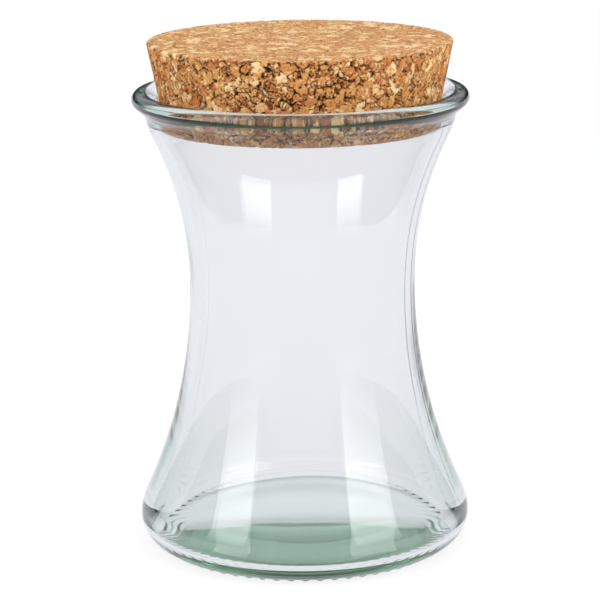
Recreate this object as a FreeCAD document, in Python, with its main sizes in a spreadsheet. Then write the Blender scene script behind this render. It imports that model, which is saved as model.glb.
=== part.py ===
import FreeCAD, Part
import math
import os
import Sketcher

# Waisted glass storage jar with a tapered cork lid.
# Millimetres. Z is the jar's axis and the jar stands on the plane Z = 0.

doc = FreeCAD.newDocument("waisted_jar")

# The driving sizes. A share is a part of another size, and a count has no unit.
SIZES = [
    ("jar_height", "122.1", "crest of the mouth above the surface the jar stands on"),
    ("heel_diameter", "88.2", "widest place of the foot"),
    ("heel_height", "7.6", "height of the widest place of the foot"),
    ("heel_shoulder_radius", "12.85", "rounding above the widest place of the foot"),
    ("bearing_inset", "7.6", "flat foot ring's outer edge, inwards of the widest place"),
    ("bearing_width", "5.5", "width of the flat foot ring"),
    ("foot_bevel_width", "2.7", "bevel outside the flat foot ring"),
    ("foot_bevel_rise", "0.5", "height of that bevel"),
    ("push_up_height", "0.2", "shallow hollow under the floor"),
    ("waist_diameter", "59.54", "narrowest place outside"),
    ("waist_height", "71.1", "height of the narrowest place"),
    ("waist_wall", "2.8", "glass at the waist"),
    ("heel_wall", "4.0", "glass at the widest place of the lower chamber"),
    ("floor_edge_height", "3.8", "edge of the floor inside"),
    ("floor_corner_radius", "2.5", "rounding between the floor and the wall inside"),
    ("floor_crown", "4.0", "rise of the floor inside from its edge to its middle"),
    ("bead_diameter", "88.3", "rolled bead of the mouth"),
    ("bead_round_radius", "1.9", "rounding at the top of the bead"),
    ("band_drop", "2.9", "lower corner of the bead's upright band, below the crest"),
    ("band_round_radius", "1.8", "rounding of that corner"),
    ("bead_depth", "5.8", "lower end of the bead, below the crest"),
    ("bead_overhang", "3.3", "bead beyond the upper end of the collar"),
    ("collar_drop", "10.2", "lower end of the collar, below the crest"),
    ("collar_spread", "1.2", "radial growth of the collar up to the bead"),
    ("crest_land", "1.8", "flat crest between the bead's rounding and the lip"),
    ("lip_width", "3.44", "radial width of the funnel-shaped lip"),
    ("lip_rise", "2.8", "height of the lip between the bore and the crest"),
    ("lip_round_radius", "0.8", "rounding between lip and bore, on which the cork sits"),
    ("bore_length", "5.7", "upright bore below the lip"),
    ("knurl_count", "64", "bars under the foot"),
    ("knurl_width", "1.7", "width of one bar"),
    ("knurl_inner_reach", "3.5", "bars inwards of the flat ring's outer edge"),
    ("knurl_outer_reach", "2.4", "bars outwards of that edge"),
    ("knurl_corner_share", "0.3", "cut-off tip corners, as a share of the bar's width"),
    ("knurl_root", "1.1", "height to which a bar is carried into the glass"),
    ("cork_height", "22.2", "height of the cork"),
    ("cork_depth", "9.25", "depth of the cork's narrow end below the crest"),
    ("cork_taper_share", "0.1982", "radial growth of the cork, as a share of its height"),
    ("cork_top_edge", "0.5", "worn upper edge"),
    ("cork_base_edge", "1.0", "chamfer of the lower edge"),
    ("cork_clearance", "0.12", "radial room between the cork and the top of the bore"),
    ("pit_depth", "0.6", "larger open pits between the cork's granules"),
    ("pit_length", "2.4", "length of such a pit"),
    ("pit_width", "1.7", "width of such a pit"),
    ("top_a_share", "0.1", "first ring of pits on the top, as a share of the wide radius"),
    ("top_a_count", "3", "pits on the first ring"),
    ("top_b_share", "0.33", "second ring"),
    ("top_b_count", "9", "pits on the second ring"),
    ("top_c_share", "0.55", "third ring"),
    ("top_c_count", "15", "pits on the third ring"),
    ("top_d_share", "0.78", "fourth ring"),
    ("top_d_count", "22", "pits on the fourth ring"),
    ("side_a_share", "0.52", "lower row of pits on the side, as a share of the cork's height"),
    ("side_a_count", "26", "pits in the lower row"),
    ("side_b_share", "0.78", "upper row"),
    ("side_b_count", "26", "pits in the upper row"),
]

sheet = doc.addObject("Spreadsheet::Sheet", "Dim")
for row, (alias, number, note) in enumerate(SIZES, start=1):
    sheet.set(f"A{row}", note)
    sheet.set(f"B{row}", number)
    sheet.setAlias(f"B{row}", alias)
doc.recompute()


def value(formula):
    """Number that a formula on the sheet's cells gives."""
    return float(sheet.evalExpression(formula))


def point(x, z):
    return FreeCAD.Vector(x, z, 0)


def new_body(name):
    body = doc.addObject("PartDesign::Body", name)
    body.Label = name
    return body


def origin_feature(body, role):
    return next(f for f in body.Origin.OriginFeatures if f.Role == role)


def new_sketch(body, name, role):
    sketch = body.newObject("Sketcher::SketchObject", name)
    sketch.AttachmentSupport = [(origin_feature(body, role), "")]
    sketch.MapMode = "FlatFace"
    return sketch


def line(sketch, start, end):
    return sketch.addGeometry(Part.LineSegment(point(*start), point(*end)), False)


def arc(sketch, centre, start, end):
    """Arc that runs counter-clockwise from start to end."""
    radius = math.dist(centre, start)
    circle = Part.Circle(point(*centre), FreeCAD.Vector(0, 0, 1), radius)
    first = math.atan2(start[1] - centre[1], start[0] - centre[0])
    last = math.atan2(end[1] - centre[1], end[0] - centre[0])
    return sketch.addGeometry(Part.ArcOfCircle(circle, first, last), False)


# A sketch counts the points of a curve from one, and its own two axes the same way below zero.
START, END, CENTRE = range(1, 4)
X_AXIS, Z_AXIS = -START, -END


def join(sketch, *ends):
    """Join pairs of ends, each given as curve, end, curve, end."""
    for pair in ends:
        sketch.addConstraint(Sketcher.Constraint("Coincident", *pair))


def smooth(sketch, *ends):
    """Join pairs of ends so that the two curves run on without a corner."""
    for pair in ends:
        sketch.addConstraint(Sketcher.Constraint("Tangent", *pair))


def on_axis(sketch, axis, *ends):
    for curve, end in ends:
        sketch.addConstraint(Sketcher.Constraint("PointOnObject", curve, end, axis))


def bind(sketch, index, name, formula):
    sketch.renameConstraint(index, name)
    sketch.setExpression(f"Constraints.{name}", formula)


def reach(sketch, curve, end, name, formula):
    """Distance of a point from the jar's axis."""
    index = sketch.addConstraint(
        Sketcher.Constraint("DistanceX", X_AXIS, START, curve, end, value(formula))
    )
    bind(sketch, index, name, formula)


def level(sketch, curve, end, name, formula):
    """Height of a point above the sketch's origin."""
    index = sketch.addConstraint(
        Sketcher.Constraint("DistanceY", X_AXIS, START, curve, end, value(formula))
    )
    bind(sketch, index, name, formula)


def radius(sketch, curve, name, formula):
    index = sketch.addConstraint(Sketcher.Constraint("Radius", curve, value(formula)))
    bind(sketch, index, name, formula)


def same_level(sketch, *ends):
    """Points of each pair lie at one height."""
    for pair in ends:
        sketch.addConstraint(Sketcher.Constraint("Horizontal", *pair))


def above(sketch, *ends):
    """Points of each pair lie on one upright line."""
    for pair in ends:
        sketch.addConstraint(Sketcher.Constraint("Vertical", *pair))


def mirrored(sketch, axis, *ends):
    """Points of each pair lie evenly on both sides of an axis of the sketch."""
    for pair in ends:
        sketch.addConstraint(Sketcher.Constraint("Symmetric", *pair, axis))


def spin(body, kind, name, sketch):
    feature = body.newObject(kind, name)
    feature.Profile = sketch
    feature.ReferenceAxis = (sketch, ["V_Axis"])
    feature.Angle = 360
    sketch.Visibility = False
    return feature


def wall_arcs(waist, waist_z, foot, foot_z, foot_radius, top, top_z):
    """Centres of the two waist arcs, and the point where the lower one meets the foot's rounding.

    The lower arc touches the foot's rounding, and the upper one passes through its end point.
    """
    drop = waist_z - foot_z
    run = waist - foot + foot_radius
    lower = (drop**2 + run**2 - foot_radius**2) / (2 * (foot_radius - run))
    foot_centre = (foot - foot_radius, foot_z)
    lower_centre = (waist + lower, waist_z)
    angle = math.atan2(drop, lower_centre[0] - foot_centre[0])
    meet = (
        foot_centre[0] + foot_radius * math.cos(angle),
        foot_z + foot_radius * math.sin(angle),
    )
    rise = top_z - waist_z
    upper = (rise**2 + (top - waist) ** 2) / (2 * (top - waist))
    return lower_centre, meet, (waist + upper, waist_z)


# Jar: outer form
HEEL = "Dim.heel_diameter / 2"
RING_EDGE = HEEL + " - Dim.bearing_inset"
BEVEL = RING_EDGE + " + Dim.foot_bevel_width"
WAIST = "Dim.waist_diameter / 2"
BEAD = "Dim.bead_diameter / 2"
COLLAR_TOP = BEAD + " - Dim.bead_overhang"
COLLAR = COLLAR_TOP + " - Dim.collar_spread"
CREST_EDGE = BEAD + " - Dim.bead_round_radius"
COLLAR_Z = "Dim.jar_height - Dim.collar_drop"
NECK_Z = "Dim.jar_height - Dim.bead_depth"
TUCK_Z = "Dim.jar_height - Dim.band_drop"
BAND_Z = "Dim.jar_height - Dim.bead_round_radius"

glass_jar = new_body("glass_jar")
outer = new_sketch(glass_jar, "outer_profile", "XZ_Plane")

ring_edge = value(RING_EDGE)
bevel_r, bevel_z = value(BEVEL), value("Dim.foot_bevel_rise")
heel, heel_z = value(HEEL), value("Dim.heel_height")
heel_r = value("Dim.heel_shoulder_radius")
foot_r = ((heel - bevel_r) ** 2 + (heel_z - bevel_z) ** 2) / (2 * (heel - bevel_r))
waist, waist_z = value(WAIST), value("Dim.waist_height")
collar, collar_z = value(COLLAR), value(COLLAR_Z)
collar_top = value(COLLAR_TOP)
neck_z, tuck_z, band_z = value(NECK_Z), value(TUCK_Z), value(BAND_Z)
bead, crest_edge, top_z = value(BEAD), value(CREST_EDGE), value("Dim.jar_height")
band_r = value("Dim.band_round_radius")
neck, tuck = (collar_top, neck_z), (bead, tuck_z)
tuck_turn = math.atan2(bead - collar_top, tuck_z - neck_z)
tuck_ease = band_r * math.tan(tuck_turn / 2)
tuck_end = (bead - tuck_ease * math.sin(tuck_turn), tuck_z - tuck_ease * math.cos(tuck_turn))
band_low = (bead, tuck_z + tuck_ease)
low_centre, meet, up_centre = wall_arcs(waist, waist_z, heel, heel_z, heel_r, collar, collar_z)

base = line(outer, (0, 0), (ring_edge, 0))
bevel = line(outer, (ring_edge, 0), (bevel_r, bevel_z))
foot = arc(outer, (heel - foot_r, heel_z), (bevel_r, bevel_z), (heel, heel_z))
hip = arc(outer, (heel - heel_r, heel_z), (heel, heel_z), meet)
low_wall = arc(outer, low_centre, (waist, waist_z), meet)
up_wall = arc(outer, up_centre, (collar, collar_z), (waist, waist_z))
neck_line = line(outer, (collar, collar_z), neck)
underside = line(outer, neck, tuck_end)
tuck_round = arc(outer, (bead - band_r, band_low[1]), tuck_end, band_low)
band = line(outer, band_low, (bead, band_z))
roll = arc(outer, (crest_edge, band_z), (bead, band_z), (crest_edge, top_z))
lid_plane = line(outer, (crest_edge, top_z), (0, top_z))
spine = line(outer, (0, top_z), (0, 0))

join(outer, (base, START, X_AXIS, START), (base, END, bevel, START), (bevel, END, foot, START))
on_axis(outer, X_AXIS, (base, END))
smooth(outer, (foot, END, hip, START), (hip, END, low_wall, END))
smooth(outer, (low_wall, START, up_wall, END))
join(outer, (up_wall, START, neck_line, START), (neck_line, END, underside, START))
smooth(outer, (underside, END, tuck_round, START), (tuck_round, END, band, START))
smooth(outer, (band, END, roll, START), (roll, END, lid_plane, START))
tuck_corner = outer.addGeometry(Part.Point(point(*tuck)), True)
outer.addConstraint(Sketcher.Constraint("PointOnObject", tuck_corner, START, underside))
outer.addConstraint(Sketcher.Constraint("PointOnObject", tuck_corner, START, band))
join(outer, (lid_plane, END, spine, START), (spine, END, base, START))
on_axis(outer, Z_AXIS, (spine, START))
same_level(outer, (foot, CENTRE, foot, END), (low_wall, CENTRE, low_wall, START))
same_level(outer, (lid_plane, START, lid_plane, END))
above(outer, (band, START, band, END))
reach(outer, base, END, "ring_edge", RING_EDGE)
reach(outer, bevel, END, "bevel", BEVEL)
level(outer, bevel, END, "bevel_z", "Dim.foot_bevel_rise")
reach(outer, foot, END, "heel", HEEL)
level(outer, foot, END, "heel_z", "Dim.heel_height")
radius(outer, hip, "heel_shoulder", "Dim.heel_shoulder_radius")
reach(outer, low_wall, START, "waist", WAIST)
level(outer, low_wall, START, "waist_z", "Dim.waist_height")
reach(outer, neck_line, START, "collar", COLLAR)
level(outer, neck_line, START, "collar_z", COLLAR_Z)
reach(outer, neck_line, END, "collar_top", COLLAR_TOP)
level(outer, neck_line, END, "neck_z", NECK_Z)
radius(outer, tuck_round, "band_round", "Dim.band_round_radius")
level(outer, tuck_corner, START, "tuck_z", TUCK_Z)
reach(outer, band, START, "bead", BEAD)
radius(outer, roll, "bead_round", "Dim.bead_round_radius")
level(outer, roll, END, "top_z", "Dim.jar_height")

outer_form = spin(glass_jar, "PartDesign::Revolution", "outer_form", outer)
doc.recompute()

# Jar: cavity, with the rounded top of the bore that the tapered cork sits in
LIP_TOP = CREST_EDGE + " - Dim.crest_land"
BORE = LIP_TOP + " - Dim.lip_width"
BORE_TOP_Z = "Dim.jar_height - Dim.lip_rise"
BORE_BASE_Z = BORE_TOP_Z + " - Dim.bore_length"
CORK_BASE_Z = "Dim.jar_height - Dim.cork_depth"
CAVITY_WAIST = WAIST + " - Dim.waist_wall"
CORNER_CENTRE = HEEL + " - Dim.heel_wall - Dim.floor_corner_radius"
CORNER_Z = "Dim.floor_edge_height + Dim.floor_corner_radius"

cavity = new_sketch(glass_jar, "cavity_profile", "XZ_Plane")
lip_top = value(LIP_TOP)
bore, bore_top_z, bore_base_z = value(BORE), value(BORE_TOP_Z), value(BORE_BASE_Z)
lip_r = value("Dim.lip_round_radius")
lip_turn = math.atan2(lip_top - bore, top_z - bore_top_z)
lip_ease = lip_r * math.tan(lip_turn / 2)
lip_end = (bore + lip_ease * math.sin(lip_turn), bore_top_z + lip_ease * math.cos(lip_turn))
bore_start = (bore, bore_top_z - lip_ease)
in_waist, corner_r = value(CAVITY_WAIST), value("Dim.floor_corner_radius")
floor_edge, floor_z = value(CORNER_CENTRE), value("Dim.floor_edge_height")
corner_z = value(CORNER_Z)
in_low, in_meet, in_up = wall_arcs(
    in_waist, waist_z, floor_edge + corner_r, corner_z, corner_r, bore, bore_base_z
)
floor_rise = value("Dim.floor_crown")
floor_r = (floor_edge**2 + floor_rise**2) / (2 * floor_rise)
crown_z = floor_z + floor_rise

mouth = line(cavity, (0, top_z), (lip_top, top_z))
lip = line(cavity, (lip_top, top_z), lip_end)
lip_round = arc(cavity, (bore + lip_r, bore_start[1]), lip_end, bore_start)
bore_line = line(cavity, bore_start, (bore, bore_base_z))
up_face = arc(cavity, in_up, (bore, bore_base_z), (in_waist, waist_z))
low_face = arc(cavity, in_low, (in_waist, waist_z), in_meet)
corner = arc(cavity, (floor_edge, corner_z), (floor_edge, floor_z), in_meet)
floor = arc(cavity, (0, crown_z - floor_r), (floor_edge, floor_z), (0, crown_z))
core = line(cavity, (0, crown_z), (0, top_z))

on_axis(cavity, Z_AXIS, (core, START), (core, END), (floor, CENTRE))
join(cavity, (core, END, mouth, START), (mouth, END, lip, START))
smooth(cavity, (lip, END, lip_round, START), (lip_round, END, bore_line, START))
join(cavity, (bore_line, END, up_face, START))
lip_corner = cavity.addGeometry(Part.Point(point(bore, bore_top_z)), True)
cavity.addConstraint(Sketcher.Constraint("PointOnObject", lip_corner, START, lip))
cavity.addConstraint(Sketcher.Constraint("PointOnObject", lip_corner, START, bore_line))
smooth(cavity, (up_face, END, low_face, START), (low_face, END, corner, END))
join(cavity, (corner, START, floor, START), (floor, END, core, START))
same_level(cavity, (mouth, START, mouth, END), (low_face, CENTRE, low_face, START))
above(cavity, (corner, CENTRE, corner, START), (bore_line, START, bore_line, END))
level(cavity, mouth, START, "top_z", "Dim.jar_height")
reach(cavity, mouth, END, "lip_top", LIP_TOP)
radius(cavity, lip_round, "lip_round", "Dim.lip_round_radius")
level(cavity, lip_corner, START, "bore_top_z", BORE_TOP_Z)
reach(cavity, bore_line, END, "bore", BORE)
level(cavity, bore_line, END, "bore_base_z", BORE_BASE_Z)
reach(cavity, low_face, START, "waist", CAVITY_WAIST)
level(cavity, low_face, START, "waist_z", "Dim.waist_height")
radius(cavity, corner, "corner_radius", "Dim.floor_corner_radius")
reach(cavity, corner, CENTRE, "corner_centre", CORNER_CENTRE)
level(cavity, corner, CENTRE, "corner_z", CORNER_Z)
level(cavity, core, START, "crown_z", "Dim.floor_edge_height + Dim.floor_crown")

hollow = spin(glass_jar, "PartDesign::Groove", "hollow", cavity)
doc.recompute()

# Jar: hollow under the floor, so that the jar stands on a ring
RING_INNER = RING_EDGE + " - Dim.bearing_width"
dome = new_sketch(glass_jar, "push_up_profile", "XZ_Plane")
ring, lift = value(RING_INNER), value("Dim.push_up_height")
dome_r = (ring**2 + lift**2) / (2 * lift)
dome_base = line(dome, (0, 0), (ring, 0))
dome_arc = arc(dome, (0, lift - dome_r), (ring, 0), (0, lift))
dome_core = line(dome, (0, lift), (0, 0))
join(dome, (dome_base, START, X_AXIS, START), (dome_base, END, dome_arc, START))
join(dome, (dome_arc, END, dome_core, START), (dome_core, END, dome_base, START))
on_axis(dome, X_AXIS, (dome_base, END))
on_axis(dome, Z_AXIS, (dome_core, START), (dome_arc, CENTRE))
reach(dome, dome_base, END, "ring", RING_INNER)
level(dome, dome_core, START, "lift", "Dim.push_up_height")
punt = spin(glass_jar, "PartDesign::Groove", "push_up", dome)
doc.recompute()

# Jar: one knurl bar under the foot, and its ring of copies
bar = new_sketch(glass_jar, "knurl_plan", "XY_Plane")
HALF = "Dim.knurl_width / 2"
NEAR = RING_EDGE + " - Dim.knurl_inner_reach"
FAR = RING_EDGE + " + Dim.knurl_outer_reach"
CORNER = "Dim.knurl_width * Dim.knurl_corner_share"
half, near, far, cut = value(HALF), value(NEAR), value(FAR), value(CORNER)
side_a = line(bar, (near, -half), (far - cut, -half))
corner_a = line(bar, (far - cut, -half), (far, cut - half))
tip = line(bar, (far, cut - half), (far, half - cut))
corner_b = line(bar, (far, half - cut), (far - cut, half))
side_b = line(bar, (far - cut, half), (near, half))
root = line(bar, (near, half), (near, -half))
join(bar, (side_a, END, corner_a, START), (corner_a, END, tip, START))
join(bar, (tip, END, corner_b, START), (corner_b, END, side_b, START))
join(bar, (side_b, END, root, START), (root, END, side_a, START))
mirrored(bar, X_AXIS, (side_a, START, side_b, END), (side_a, END, side_b, START))
mirrored(bar, X_AXIS, (tip, START, tip, END))
same_level(bar, (side_b, START, side_b, END))
reach(bar, side_b, END, "near", NEAR)
reach(bar, side_b, START, "corner", FAR + " - " + CORNER)
reach(bar, tip, END, "far", FAR)
level(bar, side_b, END, "half", HALF)
level(bar, tip, END, "corner_half", HALF + " - " + CORNER)

knurl = glass_jar.newObject("PartDesign::Pad", "knurl_bar")
knurl.Profile = bar
knurl.setExpression("Length", "Dim.knurl_root")
bar.Visibility = False
doc.recompute()


def ring_of(body, feature, name, formula):
    """Copies of a feature evenly round the axis."""
    ring = body.newObject("PartDesign::PolarPattern", name)
    ring.Originals = [feature]
    ring.Axis = (origin_feature(body, "Z_Axis"), [""])
    ring.Angle = 360
    ring.setExpression("Occurrences", formula)
    body.Tip = ring
    doc.recompute()


ring_of(glass_jar, knurl, "knurl_ring", "Dim.knurl_count")

# Cork lid, drawn with its narrow end on its own origin and then set down into the bore
IN_BORE = f"({BORE_TOP_Z} - ({CORK_BASE_Z}))"
CORK_BASE = f"{BORE} - Dim.cork_clearance - Dim.cork_taper_share * {IN_BORE}"
CORK_WIDE = CORK_BASE + " + Dim.cork_taper_share * Dim.cork_height"
cork_lid = new_body("cork_lid")
cone = new_sketch(cork_lid, "cork_profile", "XZ_Plane")
base_r, wide_r, cork_h = value(CORK_BASE), value(CORK_WIDE), value("Dim.cork_height")
cork_base = line(cone, (0, 0), (base_r, 0))
cork_side = line(cone, (base_r, 0), (wide_r, cork_h))
cork_top = line(cone, (wide_r, cork_h), (0, cork_h))
cork_core = line(cone, (0, cork_h), (0, 0))
join(cone, (cork_base, START, X_AXIS, START), (cork_base, END, cork_side, START))
join(cone, (cork_side, END, cork_top, START), (cork_top, END, cork_core, START))
join(cone, (cork_core, END, cork_base, START))
on_axis(cone, X_AXIS, (cork_base, END))
on_axis(cone, Z_AXIS, (cork_core, START))
same_level(cone, (cork_top, START, cork_top, END))
reach(cone, cork_base, END, "base", CORK_BASE)
reach(cone, cork_side, END, "wide", CORK_WIDE)
level(cone, cork_side, END, "height", "Dim.cork_height")
plug = spin(cork_lid, "PartDesign::Revolution", "cork_cone", cone)
doc.recompute()


def round_edge(shape, height):
    """Name of the circular edge that lies at a height."""
    for number, edge in enumerate(shape.Edges, start=1):
        box = edge.BoundBox
        flat = box.ZLength < shape.BoundBox.ZLength / 1000
        if flat and abs(box.ZMin - height) < shape.BoundBox.ZLength / 1000:
            return f"Edge{number}"
    raise ValueError("no edge at that height")


def bevelled(body, before, name, height, formula):
    """Chamfer on the circular edge of the feature before it."""
    chamfer = body.newObject("PartDesign::Chamfer", name)
    chamfer.Base = (before, [round_edge(before.Shape, height)])
    chamfer.setExpression("Size", formula)
    doc.recompute()
    return chamfer


worn = bevelled(cork_lid, plug, "worn_edge", cork_h, "Dim.cork_top_edge")
eased = bevelled(cork_lid, worn, "eased_edge", 0, "Dim.cork_base_edge")
cork_lid.Tip = eased

# Cork: the larger open pits between its granules, each a three-cornered pocket
PIT_HALF = "Dim.pit_width / 2"
pit_half = value(PIT_HALF)
pit_plans = []


def pocket(plan, name, formula):
    pit_plans.append(plan)
    pit = cork_lid.newObject("PartDesign::Pocket", name)
    pit.Profile = plan
    pit.setExpression("Length", formula)
    plan.Visibility = False
    doc.recompute()
    return pit


def top_pits(ring):
    """One ring of pits on the top, each with its tip towards the axis."""
    plan = new_sketch(cork_lid, f"top_{ring}_plan", "XY_Plane")
    plan.setExpression("AttachmentOffset.Base.z", "Dim.cork_height")
    near_formula = f"({CORK_WIDE}) * Dim.top_{ring}_share"
    far_formula = near_formula + " + Dim.pit_length"
    near_r, far_r = value(near_formula), value(far_formula)
    edge = line(plan, (near_r, 0), (far_r, -pit_half))
    back = line(plan, (far_r, -pit_half), (far_r, pit_half))
    close = line(plan, (far_r, pit_half), (near_r, 0))
    join(plan, (edge, END, back, START), (back, END, close, START), (close, END, edge, START))
    on_axis(plan, X_AXIS, (edge, START))
    mirrored(plan, X_AXIS, (back, START, back, END))
    reach(plan, edge, START, "near", near_formula)
    reach(plan, back, END, "far", far_formula)
    level(plan, back, END, "half", PIT_HALF)
    pit = pocket(plan, f"top_{ring}_pit", "Dim.pit_depth")
    ring_of(cork_lid, pit, f"top_{ring}_ring", f"Dim.top_{ring}_count")


def side_pits(row, role):
    """One row of pits on the side, each with its tip upwards."""
    plan = new_sketch(cork_lid, f"side_{row}_plan", role)
    plan.setExpression("AttachmentOffset.Base.z", CORK_WIDE)
    low_formula = f"Dim.cork_height * Dim.side_{row}_share"
    high_formula = low_formula + " + Dim.pit_length"
    low_z, high_z = value(low_formula), value(high_formula)
    edge = line(plan, (0, high_z), (-pit_half, low_z))
    foot_edge = line(plan, (-pit_half, low_z), (pit_half, low_z))
    close = line(plan, (pit_half, low_z), (0, high_z))
    join(plan, (edge, END, foot_edge, START), (foot_edge, END, close, START))
    join(plan, (close, END, edge, START))
    on_axis(plan, Z_AXIS, (edge, START))
    mirrored(plan, Z_AXIS, (foot_edge, START, foot_edge, END))
    level(plan, edge, START, "high", high_formula)
    level(plan, foot_edge, END, "low", low_formula)
    reach(plan, foot_edge, END, "half", PIT_HALF)
    below = f"(Dim.cork_height - {low_formula} - Dim.pit_length / 2)"
    pit = pocket(plan, f"side_{row}_pit", f"Dim.cork_taper_share * {below} + Dim.pit_depth")
    ring_of(cork_lid, pit, f"side_{row}_ring", f"Dim.side_{row}_count")


for ring in "abcd":
    top_pits(ring)
for row, role in (("a", "YZ_Plane"), ("b", "XZ_Plane")):
    side_pits(row, role)
cork_lid.setExpression("Placement.Base.z", CORK_BASE_Z)
doc.recompute()

# Files
os.makedirs("parts", exist_ok=True)
for item in doc.Objects:
    if "Invalid" in item.State or "Error" in item.State:
        raise RuntimeError(f"{item.Name} did not build: {item.State}")
for sketch in (outer, cavity, dome, bar, cone, *pit_plans):
    if not sketch.FullyConstrained:
        raise RuntimeError(f"{sketch.Name} is not fully constrained")
for body in (glass_jar, cork_lid):
    if body.Shape.isNull() or not body.Shape.isValid() or len(body.Shape.Solids) != 1:
        raise RuntimeError(f"{body.Label} is not one valid solid")
    body.Shape.exportStep(f"parts/{body.Label}.step")
    print(f"{body.Label}: {body.Shape.Volume:.0f} mm3")
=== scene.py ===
import itertools
import math

import bpy
import numpy as np
from bpy.props import FloatProperty, FloatVectorProperty, IntProperty, PointerProperty
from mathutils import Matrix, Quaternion, Vector


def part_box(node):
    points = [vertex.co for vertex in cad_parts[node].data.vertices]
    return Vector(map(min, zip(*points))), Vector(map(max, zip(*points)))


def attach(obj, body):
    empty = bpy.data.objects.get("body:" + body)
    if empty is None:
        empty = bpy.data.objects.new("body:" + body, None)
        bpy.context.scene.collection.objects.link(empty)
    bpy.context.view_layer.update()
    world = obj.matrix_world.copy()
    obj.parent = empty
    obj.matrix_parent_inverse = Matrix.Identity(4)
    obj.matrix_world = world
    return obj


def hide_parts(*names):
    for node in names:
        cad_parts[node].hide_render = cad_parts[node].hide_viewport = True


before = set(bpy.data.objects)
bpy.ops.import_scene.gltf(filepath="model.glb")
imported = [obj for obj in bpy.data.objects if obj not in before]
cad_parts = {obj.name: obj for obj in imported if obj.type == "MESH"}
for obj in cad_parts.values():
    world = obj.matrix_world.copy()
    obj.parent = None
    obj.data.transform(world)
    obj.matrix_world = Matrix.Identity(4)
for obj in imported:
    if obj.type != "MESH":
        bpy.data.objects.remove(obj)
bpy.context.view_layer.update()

bl_info = {
    "name": "Waisted jar with cork lid",
    "version": (1, 0, 0),
    "blender": (4, 5, 0),
    "location": "3D View > Sidebar > Jar",
    "description": "A waisted jar of clear glass, its pressed cork lid and a plain studio",
    "category": "Object",
}

# Metres throughout. Z is the jar's axis, and the viewer of the photograph stands at -Y.
JAR_LOW, JAR_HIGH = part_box("glass_jar")
CORK_LOW, CORK_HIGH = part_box("cork_lid")

# What the worn edge takes off the cork's widest radius.
CORK_EDGE_LOSS = 0.0001


def length(name, default, description):
    """Setting in metres."""
    return FloatProperty(
        name=name,
        description=description,
        default=default,
        unit="LENGTH",
        subtype="DISTANCE",
        precision=5,
    )


def angle(name, degrees, description):
    """Setting that is written in degrees."""
    return FloatProperty(
        name=name,
        description=description,
        default=math.radians(degrees),
        unit="ROTATION",
        subtype="ANGLE",
    )


def amount(name, default, description):
    """Setting that is a plain number."""
    return FloatProperty(name=name, description=description, default=default)


def count(name, default, description):
    """Setting that is a whole number."""
    return IntProperty(name=name, description=description, default=default, min=1)


def linear(red, green, blue):
    """Scene colour of an sRGB colour written in steps of 255."""
    steps = [value / 255 for value in (red, green, blue)]
    return tuple(s / 12.92 if s < 0.04045 else ((s + 0.055) / 1.055) ** 2.4 for s in steps)


def colour(name, rgb, description):
    """Setting that is a colour, written in steps of 255."""
    return FloatVectorProperty(
        name=name,
        description=description,
        default=linear(*rgb),
        subtype="COLOR",
        min=0,
        max=1,
    )


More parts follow.
